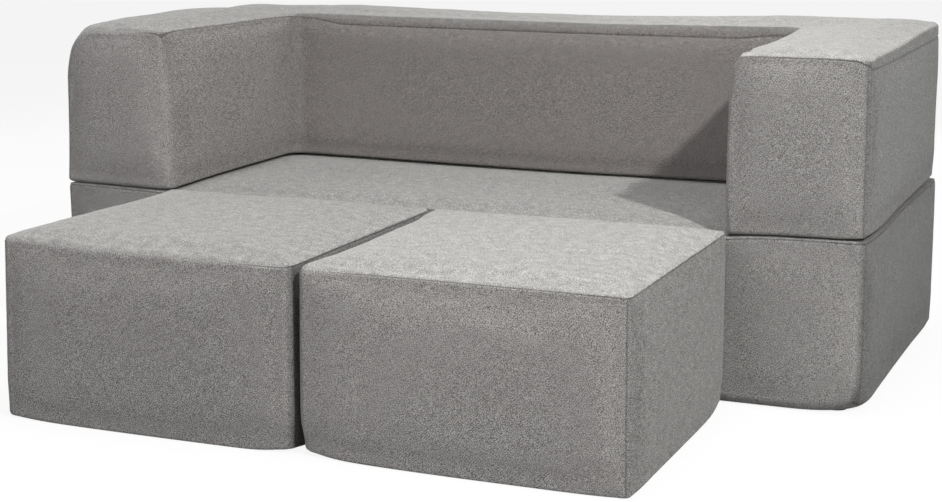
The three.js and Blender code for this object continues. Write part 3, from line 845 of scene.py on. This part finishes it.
def foam_piece(name, body, material, plan, levels, corners, top_radius, pinch, seed, settles=True,
               lean=(0, 0)):
    """A cut foam block, a little smaller than the cover that holds it."""
    block = Block(
        rectangle(*plan), *levels, top_radius=top_radius, bottom_radius=[12] * 4, corner_radius=corners,
        corner_top_radius=corners, corner_bottom_radius=corners, bulge=[0] * 4, seam=[SEAM_LOOP] * 4,
        pinch=pinch, pinch_lift=5.0, settles=settles, top_push=[(0, 0), lean, (0, 0), (0, 0)],
    )
    sharp, quads, _ = block.grid(FOAM_STEP, PLAIN_LOOPS)
    points, _ = block.shaped(sharp)
    points = points + normals_of(points, quads) * (0.5 * waves(seed, points, 90.0))[:, None]
    mesh = mesh_from(name + "_foam_block", points, quads)
    piece = piece_from(name + "_foam_block", mesh, material, body, "foam", name + "_foam_core")


def make_foam(material):
    k = FOAM_SKIN
    left, right, inner = k - HALF_WIDTH, HALF_WIDTH - k, INNER_HALF_WIDTH + k
    front, back, rear = BASE_FRONT + k, BACK_FRONT + k, REAR_FACE - k
    back_levels = (BACK_FLOOR + k, BACK_TOP - k)
    foam_piece("base", "base", material, (left, front, right, rear), (k, SEAT_LEVEL - 6),
               [18] * 4, [8] * 4, [12] * 4, 61)
    foam_piece("backrest", "back_and_arms", material, (left, back, right, rear), back_levels,
               [8, 8, 24, 30], [16, 16, 18, 22], [0, 0, 8, 8], 62)
    foam_piece("left_arm", "back_and_arms", material, (left, front, -inner, back - 0.5), back_levels,
               [40, 26, 4, 4], [40, 18, 16, 22], [10, 10, 0, 0], 63, lean=LEFT_ARM_LEAN)
    foam_piece("right_arm", "back_and_arms", material, (inner, front, right, back - 0.5), back_levels,
               [22, 22, 4, 4], [20, 20, 18, 18], [8, 8, 0, 0], 64)
    for seed, (name, x0, x1, _) in enumerate(OTTOMANS, 65):
        plan = (x0 + k, OTTOMAN_FRONT + k, x1 - k, OTTOMAN_REAR - k)
        foam_piece(name, name, material, plan, (k, SEAT_LEVEL - k), [16] * 4, [9] * 4, [8] * 4, seed,
                   settles=False)


# Bottom panels


def drawn_in(outline, amount):
    o = outline
    return Outline([o.corners[i] + amount * (o.inward[i - 1] + o.inward[i]) for i in range(o.count)])


def bottom_panel(name, body, outline, floor, material, seed):
    """The non-slip panel that closes a cover underneath."""
    n = outline.count
    block = Block(
        drawn_in(outline, PANEL_INSET), floor, floor + PANEL_THICKNESS, top_radius=[0.8] * n,
        bottom_radius=[1.0] * n, corner_radius=[20] * n, corner_top_radius=[20] * n,
        corner_bottom_radius=[20] * n, inside_radius=[20.0] * n, bulge=[0] * n, seam=[SEAM_LOOP] * n,
        settles=floor > 0,
    )
    sharp, quads, _ = block.grid(PANEL_STEP, PLAIN_LOOPS)
    points, at = block.shaped(sharp)
    ripple = 0.10 * (1 + waves(seed, points, 70.0)) * smooth((at["inset"] - 4) / 20)
    points[:, 2] += 0.1 + np.where(at["depth"] > PANEL_THICKNESS - 0.1, np.maximum(ripple, 0), 0)
    mesh = mesh_from(name + "_non_slip_panel", points, quads)
    piece_from(name + "_non_slip_panel", mesh, material, body, "non_slip_fabric", name + "_bottom_panel")


def make_bottom_panels(material):
    base = rectangle(-HALF_WIDTH, BASE_FRONT, HALF_WIDTH, REAR_FACE)
    bottom_panel("base", "base", base, 0.0, material, 71)
    bottom_panel("back_arms", "back_and_arms", u_outline(), BACK_FLOOR, material, 72)
    for seed, (name, x0, x1, _) in enumerate(OTTOMANS, 73):
        bottom_panel(name, name, rectangle(x0, OTTOMAN_FRONT, x1, OTTOMAN_REAR), 0.0, material, seed)


# Zips

ZIP_PITCH = 2.1
ZIP_TAIL = 14.0
TAPE_FACE = 2.85
# Sizes of a tooth of the coil and of an end stop: across, outward and along
TOOTH = (1.45, 1.45, 3.6)
END_STOP = (3.0, 2.0, 5.0)


def bar(width, depth, length):
    """A small rounded bar as points and quads: x across, y out, z along."""
    rings = [(1.0, 0.0), (1.0, 0.62), (0.66, 1.0)]
    points = [
        (sx * width / 2 * k, depth * out, sz * (length / 2 - width / 2 * (1 - k)))
        for k, out in rings for sx, sz in ((-1, -1), (1, -1), (1, 1), (-1, 1))
    ]
    quads = [(0, 1, 2, 3), (11, 10, 9, 8)]
    for ring in (0, 4):
        quads += [(ring + (k + 1) % 4, ring + k, ring + 4 + k, ring + 4 + (k + 1) % 4) for k in range(4)]
    return np.array(points, float), np.array(quads)[:, ::-1]


def repeated(points, quads, places):
    count = len(points)
    all_points = (places[:, None, :] + points[None]).reshape(-1, 3)
    shift = (np.arange(len(places)) * count)[:, None, None]
    return all_points, (quads[None] + shift).reshape(-1, 4)


def joined(parts):
    points, quads, start = [], [], 0
    for p, q in parts:
        points.append(p)
        quads.append(q + start)
        start += len(p)
    return np.concatenate(points), np.concatenate(quads)


def strip(xs, profile):
    """A closed profile of (y, z) points carried along x, with its ends closed by quads."""
    ring = len(profile)
    points = np.array([(x, y, z) for x in xs for y, z in profile], float)
    quads = []
    for i in range(len(xs) - 1):
        for k in range(ring):
            a, b = i * ring + k, i * ring + (k + 1) % ring
            quads.append((a, b, b + ring, a + ring))
    last = (len(xs) - 1) * ring
    for k in range(ring // 2 - 1):
        quads.append((k, ring - 1 - k, ring - 2 - k, k + 1))
        quads.append((last + k, last + k + 1, last + ring - 2 - k, last + ring - 1 - k))
    return points, np.array(quads)


def zip_piece(name, body, wall, tape_material, coil_material):
    """The tape, coil and end stops behind a cover's slit. wall is the rear face that they sit in."""
    low, high = (np.array(v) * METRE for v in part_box(name + "_zip_tape"))
    x0, x1, z = low[0], high[0], (low[2] + high[2]) / 2
    back, front = wall - TAPE_FACE - 1.0, wall - TAPE_FACE
    half = (high[2] - low[2]) / 2
    profile = [(back, z - half), (back, z - 6), (back, z), (back, z + 6), (back, z + half),
               (front - 0.3, z + half), (front, z + 6), (front + 0.1, z), (front, z - 6),
               (front - 0.3, z - half)]
    points, quads = strip(np.arange(x0, x1 + 0.01, (x1 - x0) / round((x1 - x0) / 9)), profile)
    points[:, 1] += 0.12 * waves(5, points, 60.0) * (np.abs(points[:, 2] - z) > 5)
    tape = name + "_woven_zip_tape"
    piece_from(tape, mesh_from(tape, points, quads), tape_material, body, "zip_tape", name + "_zip_tape")
    start, end = x0 + ZIP_TAIL, x1 - ZIP_TAIL
    count = int((end - start) / ZIP_PITCH)
    places = [(start + (k + 0.5) * ZIP_PITCH, front, z + (0.75 if k % 2 else -0.75)) for k in range(count)]
    stops = np.array([(start - 2, front, z), (end + 2, front, z)])
    points, quads = joined([repeated(*bar(*TOOTH), np.array(places)), repeated(*bar(*END_STOP), stops)])
    coil = name + "_woven_zip_coil"
    piece_from(coil, mesh_from(coil, points, quads), coil_material, body, "zip_tape")


def make_zips(tape_material, coil_material, slider_material):
    rows = [("base", "base", REAR_FACE), ("back_arms", "back_and_arms", REAR_FACE)]
    for name, body, wall in rows + [(row[0], row[0], OTTOMAN_REAR) for row in OTTOMANS]:
        zip_piece(name, body, wall, tape_material, coil_material)
        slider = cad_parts[name + "_zip_slider"]
        slider.data.materials.clear()
        slider.data.materials.append(slider_material)


# Hinge

FLAP_HALF_LENGTH = 665.0
FLAP_REACH = 60.0
FLAP_THICKNESS = 1.5
FLAP_GAP = 0.42
STITCH_PITCH = 4.4


def make_hinge(material, thread):
    """A folded strip of cover cloth sewn across the two rear faces."""
    low, high = HINGE_FOLD - FLAP_REACH, HINGE_FOLD + FLAP_REACH
    fold = [-0.7, -0.45, -0.25, -0.1, 0.1, 0.25, 0.45, 0.7]
    levels = [low, low + 1.2, low + 4, low + 7.2, low + 8] + list(np.arange(low + 14, HINGE_FOLD - 4, 7.0))
    levels += [HINGE_FOLD + k for k in fold]
    levels += [2 * HINGE_FOLD - z for z in reversed(levels[: -len(fold)])]
    inner, outer = REAR_FACE + FLAP_GAP, REAR_FACE + FLAP_GAP + FLAP_THICKNESS

    def bulk(z):
        from_edge = min(z - low, high - z)
        return 0.25 * (from_edge < 7.5) - 0.45 * (from_edge < 0.6)

    profile = [(inner, z) for z in levels] + [(outer - 0.25 + bulk(z), z) for z in reversed(levels)]
    xs = np.arange(-FLAP_HALF_LENGTH, FLAP_HALF_LENGTH + 0.01, 9.5)
    points, quads = strip(xs, profile)
    away = smooth((np.abs(points[:, 2] - HINGE_FOLD) - 2) / 12)
    points[:, 1] += 0.22 * waves(81, points, 80.0) * away * (points[:, 1] > inner + 0.5)
    mesh = mesh_from("hinge_flap", points, quads)
    # The flap has no painted light, shade or bounce tint
    looks = {"nap": 1.0, "mottle": 0.4, "grain": 1.0, "warm": 0.0, "seam": 0.0, "edge": 0.0}
    floats = {key: np.full(len(points), value) for key, value in looks.items()}
    add_attributes(mesh, floats, points[quads.ravel()][:, [0, 2]] * MM)
    flap = object_from("hinge_flap", mesh, material)
    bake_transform(flap)
    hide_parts("hinge_leaf_base", "hinge_leaf_back")
    stitch = bar(0.8, 0.45, 3.1)
    lying = (stitch[0][:, [2, 1, 0]], stitch[1][:, ::-1])
    rows = (("hinge_stitches_base", "base", low + 5.7), ("hinge_stitches_back", "back_and_arms", high - 3.6))
    for name, body, z in rows:
        row = np.arange(-FLAP_HALF_LENGTH + 6, FLAP_HALF_LENGTH - 5.9, STITCH_PITCH)
        places = np.column_stack([row, np.full(len(row), outer - 0.28), np.full(len(row), z)])
        piece_from(name, mesh_from(name, *repeated(*lying, places)), thread, body, "cover_fabric")


# Materials


def srgb(r, g, b):
    def linear(c):
        c = c / 255
        return c / 12.92 if c <= 0.04045 else ((c + 0.055) / 1.055) ** 2.4

    return (linear(r), linear(g), linear(b), 1.0)


class Nodes:
    """A short way to write the nodes of a material, or of the world."""

    def __init__(self, owner, output="ShaderNodeOutputMaterial"):
        self.owner = owner
        owner.use_nodes = True
        self.tree = owner.node_tree
        self.tree.nodes.clear()
        self.output = self.tree.nodes.new(output)

    def put(self, kind, inputs=None, **settings):
        node = self.tree.nodes.new(kind)
        for key, value in settings.items():
            setattr(node, key, value)
        for key, value in (inputs or {}).items():
            socket = node.inputs[key]
            if isinstance(value, bpy.types.NodeSocket):
                self.tree.links.new(value, socket)
            else:
                socket.default_value = value
        return node

    def math(self, operation, a, b=0.0, c=0.0):
        return self.put("ShaderNodeMath", {0: a, 1: b, 2: c}, operation=operation).outputs[0]

    def noise(self, vector, scale, detail=2.0, rough=0.5):
        inputs = {"Vector": vector, "Scale": scale, "Detail": detail, "Roughness": rough}
        return self.put("ShaderNodeTexNoise", inputs).outputs[0]

    def stretched(self, vector, x, y, turn=0.0, z=1.0):
        inputs = {"Vector": vector, "Rotation": (0, 0, turn), "Scale": (x, y, z)}
        return self.put("ShaderNodeMapping", inputs).outputs[0]

    def ramp(self, value, low, high, to_low=0.0, to_high=1.0):
        inputs = {0: value, 1: low, 2: high, 3: to_low, 4: to_high}
        return self.put("ShaderNodeMapRange", inputs, clamp=True).outputs[0]

    def mix(self, factor, a, b):
        return self.put("ShaderNodeMix", {0: factor, 6: a, 7: b}, data_type="RGBA").outputs[2]

    def scaled(self, colour, amount):
        """A colour times a number that may vary."""
        return self.put("ShaderNodeVectorMath", {0: colour, "Scale": amount}, operation="SCALE").outputs[0]

    def place(self):
        """Where a point lies on its object, in metres."""
        return self.put("ShaderNodeTexCoord").outputs["Object"]

    def split(self, vector):
        return self.put("ShaderNodeSeparateXYZ", {0: vector}).outputs

    def seen(self):
        """1 for rays from the camera, straight or by way of a mirror or glass, and 0 for all others."""
        rays = self.put("ShaderNodeLightPath").outputs
        turned = self.math("MAXIMUM", rays["Is Glossy Ray"], rays["Is Transmission Ray"])
        return self.math("MAXIMUM", rays["Is Camera Ray"], turned)

    def surface(self, shader):
        self.tree.links.new(shader, self.output.inputs["Surface"])
        return self.owner

    def principled(self, colour, rough, strength, distance, height, more=None):
        """The surface of a material: its colour, roughness and bump, and any more inputs."""
        bump = {"Strength": strength, "Distance": distance, "Height": height}
        normal = self.put("ShaderNodeBump", bump).outputs[0]
        inputs = {"Base Color": colour, "Roughness": rough, "Normal": normal, **(more or {})}
        return self.surface(self.put("ShaderNodeBsdfPrincipled", inputs).outputs[0])


def nodes_of(name):
    return Nodes(bpy.data.materials.new(name))


COVER_LIGHT = srgb(172, 169.5, 168)
COVER_DARK = srgb(88, 86, 85)
# Painted bounce light: the warm tint given to faces that stand in shade
PAINTED_BOUNCE_TINT = (1.035, 0.985, 0.985)
WALE_PITCH = 3.2 * MM
DASH_PITCH = 4.8 * MM


def twill(n, weave):
    """Brightness of the slanting wales, broken into staggered dashes, around 0.5; and the wales alone."""
    u, v = n.split(weave)[:2]
    across = n.math("MULTIPLY", n.math("SUBTRACT", u, v), math.sqrt(0.5) / WALE_PITCH)
    along = n.math("MULTIPLY", n.math("ADD", u, v), math.sqrt(0.5) / DASH_PITCH)
    across = n.math("MULTIPLY_ADD", n.noise(weave, 70.0, 2.0), 1.1, across)
    wale = n.math("SINE", n.math("MULTIPLY", across, 2 * math.pi))
    row = n.math("FLOOR", across)
    shift = n.math("MULTIPLY_ADD", row, 0.37, n.math("MULTIPLY", n.noise(weave, 260.0, 1.0), 1.6))
    dash = n.math("SINE", n.math("MULTIPLY", n.math("ADD", along, shift), 2 * math.pi))
    lift = n.math("MULTIPLY", wale, n.math("MULTIPLY_ADD", dash, 0.10, 0.10))
    warp = n.noise(n.stretched(weave, 1 / (1.3 * MM), 1 / (6.0 * MM)), 1.0, 1.0)
    weft = n.noise(n.stretched(weave, 1 / (6.0 * MM), 1 / (1.3 * MM)), 1.0, 1.0)
    fleck = n.noise(weave, 760.0, 2.0, 0.75)
    tone = n.math("ADD", n.math("ADD", lift, 0.5), n.ramp(fleck, 0.25, 0.75, -0.85, 0.85))
    for yarn in (warp, weft):
        tone = n.math("ADD", tone, n.ramp(yarn, 0.3, 0.7, -0.14, 0.14))
    # The pile is brushed from front to back, so its fibres look long on the tops and on the sides
    fibre = n.noise(n.stretched(n.place(), 1 / (1.1 * MM), 1 / (5.0 * MM), 0.0, 1 / (1.1 * MM)), 1.0, 1.0)
    return n.math("ADD", tone, n.ramp(fibre, 0.3, 0.7, -0.6, 0.6)), wale


def cover_fabric():
    """Brushed twill: wales and flecks, soft cloudy patches, and paler where edges wear; each panel is made
    lighter or darker as painted light and shade, darker at seams as painted shade, and warmer on shaded faces
    as painted bounce light.
    """
    n = nodes_of("cover_fabric")
    weave = n.put("ShaderNodeUVMap", uv_map="weave").outputs[0]
    tone, wale = twill(n, weave)
    nap, mottle, grain, warm, seam, edge = (
        n.put("ShaderNodeAttribute", attribute_name=name).outputs["Fac"]
        for name in ("nap", "mottle", "grain", "warm", "seam", "edge")
    )
    tone = n.math("MULTIPLY_ADD", n.math("SUBTRACT", tone, 0.5), grain, 0.5)
    colour = n.mix(tone, COVER_DARK, COVER_LIGHT)
    brushed = n.ramp(n.noise(weave, 55.0, 5.0, 0.72), 0.25, 0.75, -0.34, 0.34)
    cloud = n.ramp(n.noise(n.place(), 3.2, 2.0), 0.3, 0.7, -0.03, 0.03)
    shade = n.math("ADD", n.math("MULTIPLY_ADD", brushed, mottle, 1.0), cloud)
    # Painted light and shade: each panel's factor makes it lighter or darker
    shade = n.math("MULTIPLY", shade, nap)
    # Painted shade: darker along the seams and where the seam dips
    shade = n.math("MULTIPLY", shade, n.ramp(seam, 0.0, 1.0, 1.0, 0.62))
    shade = n.math("MULTIPLY", shade, n.ramp(edge, 0.0, 1.0, 1.0, 1.05))
    colour = n.scaled(colour, shade)
    # Painted bounce light: a warm tint mixed in on faces that stand in shade
    tinted = n.put("ShaderNodeVectorMath", {0: colour, 1: PAINTED_BOUNCE_TINT}, operation="MULTIPLY").outputs[0]
    height = n.math("MULTIPLY_ADD", tone, 0.7, n.math("MULTIPLY", wale, 0.3))
    return n.principled(
        n.mix(warm, colour, tinted), n.ramp(tone, 0.2, 0.8, 0.97, 0.85), 0.5, 0.0005, height,
        {"Specular IOR Level": 0.15, "Sheen Weight": 0.3, "Sheen Roughness": 0.5,
         "Sheen Tint": (0.9, 0.9, 0.88, 1.0)},
    )


def foam_material():
    n = nodes_of("foam")
    place = n.place()
    cells = n.put("ShaderNodeTexVoronoi", {"Vector": place, "Scale": 620.0}, feature="F1").outputs["Distance"]
    patches = n.ramp(n.noise(place, 22.0, 3.0), 0.35, 0.65)
    yellow = n.mix(patches, srgb(233, 226, 205), srgb(240, 236, 222))
    colour = n.scaled(yellow, n.ramp(cells, 0.0, 0.6, 0.82, 1.02))
    rough = n.ramp(cells, 0.0, 0.6, 0.99, 0.9)
    return n.principled(colour, rough, 0.5, 0.0006, cells, {"Specular IOR Level": 0.1})


def non_slip_fabric():
    """Dark woven cloth with small rubber dots in a staggered grid."""
    n = nodes_of("non_slip_fabric")
    place = n.place()
    parts = n.split(n.stretched(place, 100.0, 100.0, math.radians(45)))
    wave = [n.math("COSINE", n.math("MULTIPLY", parts[k], 2 * math.pi)) for k in (0, 1)]
    dot = n.ramp(n.math("ADD", *wave), 1.15, 1.45)
    weave = n.noise(n.stretched(place, 1500.0, 500.0), 1.0, 1.0)
    colour = n.mix(dot, n.mix(weave, srgb(52, 51, 51), srgb(84, 83, 82)), srgb(40, 40, 41))
    rough = n.ramp(dot, 0.0, 1.0, 0.92, 0.55)
    height = n.math("MULTIPLY_ADD", weave, 0.2, dot)
    return n.principled(colour, rough, 0.7, 0.0008, height, {"Specular IOR Level": 0.3})


def ribbed_cloth(name, dark, light, across):
    """Narrow woven tape: fine ribs across its length."""
    n = nodes_of(name)
    place = n.place()
    rib = n.math("SINE", n.math("MULTIPLY", n.split(place)[0], 2 * math.pi / (across * MM)))
    fleck = n.noise(place, 1400.0, 2.0)
    tone = n.math("ADD", n.math("MULTIPLY_ADD", rib, 0.2, 0.3), n.math("MULTIPLY", fleck, 0.4))
    rough = n.ramp(fleck, 0.3, 0.7, 0.75, 0.9)
    sheen = {"Sheen Weight": 0.15, "Sheen Roughness": 0.4}
    return n.principled(n.mix(tone, dark, light), rough, 0.5, 0.0002, tone, sheen)


def coil_plastic():
    n = nodes_of("coil_plastic")
    place = n.place()
    worn = n.noise(place, 160.0, 3.0)
    colour = n.mix(n.ramp(worn, 0.4, 0.7), srgb(74, 73, 73), srgb(98, 97, 96))
    rough = n.ramp(worn, 0.3, 0.7, 0.34, 0.5)
    return n.principled(colour, rough, 0.2, 0.0001, n.noise(place, 2500.0))


def slider_metal():
    """Cast zinc with a dark finish, brushed and worn paler in patches."""
    n = nodes_of("slider_metal")
    place = n.place()
    brushed = n.noise(n.stretched(place, 150.0, 1800.0, 0.0, 1800.0), 1.0, 3.0)
    worn = n.ramp(n.noise(place, 420.0, 3.0), 0.55, 0.7)
    colour = n.mix(worn, srgb(86, 86, 90), srgb(158, 157, 158))
    rough = n.math("ADD", n.ramp(brushed, 0.3, 0.7, 0.28, 0.46), n.math("MULTIPLY", worn, -0.06))
    return n.principled(colour, rough, 0.25, 0.0001, brushed, {"Metallic": 0.9})


# Stage

WHITE = (1, 1, 1, 1)
FLOOR_WHITE = 0.9
FLOOR_REACH = 12.0
FLOOR_LEVEL = -0.3
WORLD_LEVEL = 0.01


def floor_material():
    """White to the camera but for the object's soft shadow, and a plain grey to every other ray."""
    n = nodes_of("floor")
    tint = n.mix(n.noise(n.place(), 40.0, 3.0), (0.38, 0.38, 0.38, 1), (0.41, 0.41, 0.41, 1))
    plain = n.put("ShaderNodeBsdfDiffuse", {"Color": tint}).outputs[0]
    pale = n.put("ShaderNodeBsdfDiffuse", {"Color": n.scaled(tint, 2.4)}).outputs[0]
    white = n.put("ShaderNodeEmission", {"Color": WHITE, "Strength": 1.0}).outputs[0]
    floor = n.put("ShaderNodeMixShader", {0: FLOOR_WHITE, 1: pale, 2: white}).outputs[0]
    return n.surface(n.put("ShaderNodeMixShader", {0: n.seen(), 1: plain, 2: floor}).outputs[0])


def make_floor():
    count = 9
    line = np.linspace(-FLOOR_REACH, FLOOR_REACH, count) * METRE
    gx, gy = np.meshgrid(line, line, indexing="ij")
    points = np.column_stack([gx.ravel(), gy.ravel(), np.full(gx.size, FLOOR_LEVEL)])
    ids = np.arange(count * count).reshape(count, count)
    quads = np.stack([ids[:-1, :-1], ids[1:, :-1], ids[1:, 1:], ids[:-1, 1:]], -1).reshape(-1, 4)
    object_from("floor", mesh_from("floor", points, quads), floor_material())


def make_world():
    """White to the camera, and a faint even light to every other ray."""
    world = bpy.data.worlds.new("studio")
    bpy.context.scene.world = world
    n = Nodes(world, "ShaderNodeOutputWorld")
    ambient = n.put("ShaderNodeBackground", {0: WHITE, 1: WORLD_LEVEL}).outputs[0]
    white = n.put("ShaderNodeBackground", {0: WHITE, 1: 1.0}).outputs[0]
    n.surface(n.put("ShaderNodeMixShader", {0: n.seen(), 1: ambient, 2: white}).outputs[0])


# Each lamp's name, place, aim, disk size, power in watts and colour
MIDDLE = (0, 0, 0.3)
LAMPS = (
    ("key", (2.62, -1.60, 2.70), (0.3, 0, 0.3), 0.19, 108.0, (0.985, 1.0, 0.985)),
    ("overhead", (0.0, -0.2, 3.0), MIDDLE, 2.4, 61.0, (0.985, 1.0, 0.99)),
    ("front", (-0.5, -3.5, 1.05), (0, 0, 0.25), 1.8, 26.5, (1, 1, 1)),
    ("left", (-3.6, -2.2, 1.6), MIDDLE, 1.8, 2.0, (0.99, 0.99, 1.0)),
    ("rear", (0.8, 3.2, 3.2), MIDDLE, 1.6, 26.2, (1, 1, 1)),
    ("behind", (-0.5, 3.3, 0.9), MIDDLE, 1.6, 22.0, (1, 1, 1)),
    ("beside", (-3.3, 1.0, 0.9), MIDDLE, 1.6, 16.0, (1, 1, 1)),
)


def lamp(name, place, aim, size, power, colour):
    data = bpy.data.lights.new(name, "AREA")
    data.shape = "DISK"
    data.size = size
    data.energy = power
    data.color = colour
    made = object_from(name, data)
    made.location = place
    made.rotation_mode = "QUATERNION"
    made.rotation_quaternion = (Vector(aim) - Vector(place)).to_track_quat("-Z", "Y")


# The camera, fitted to the photograph
CAMERA_PLACE = (1.2352, -2.9679, 0.8378)
CAMERA_YAW = 0.38523
CAMERA_PITCH = 0.14460
CAMERA_ROLL = 0.0042037
CAMERA_LENS = 72.198
CAMERA_SHIFT = (0.0, -0.10722)


def make_camera():
    data = bpy.data.cameras.new("camera")
    data.sensor_width = 36.0
    data.lens = CAMERA_LENS
    data.shift_x, data.shift_y = CAMERA_SHIFT
    data.clip_start, data.clip_end = 0.05, 60.0
    camera = object_from("camera", data)
    yaw = Matrix.Rotation(CAMERA_YAW, 4, "Z")
    pitch = Matrix.Rotation(math.pi / 2 - CAMERA_PITCH, 4, "X")
    roll = Matrix.Rotation(CAMERA_ROLL, 4, "Z")
    camera.matrix_world = Matrix.Translation(CAMERA_PLACE) @ yaw @ pitch @ roll
    bpy.context.scene.camera = camera


# Assembly

fabric = cover_fabric()
dress(base_block(), "base", "base", fabric)
dress(back_block(), "back_arms", "back_and_arms", fabric)
for name, x0, x1, form in OTTOMANS:
    dress(ottoman_block(x0, x1, form), name, name, fabric)

tape = ribbed_cloth("zip_tape_cloth", srgb(78, 77, 76), srgb(112, 110, 108), 0.8)
thread = ribbed_cloth("sewing_thread", srgb(104, 102, 100), srgb(138, 136, 133), 0.6)
make_foam(foam_material())
make_bottom_panels(non_slip_fabric())
make_zips(tape, coil_plastic(), slider_metal())
make_hinge(fabric, thread)

make_floor()
make_world()
for values in LAMPS:
    lamp(*values)
make_camera()
bpy.context.scene.view_settings.view_transform = "Standard"
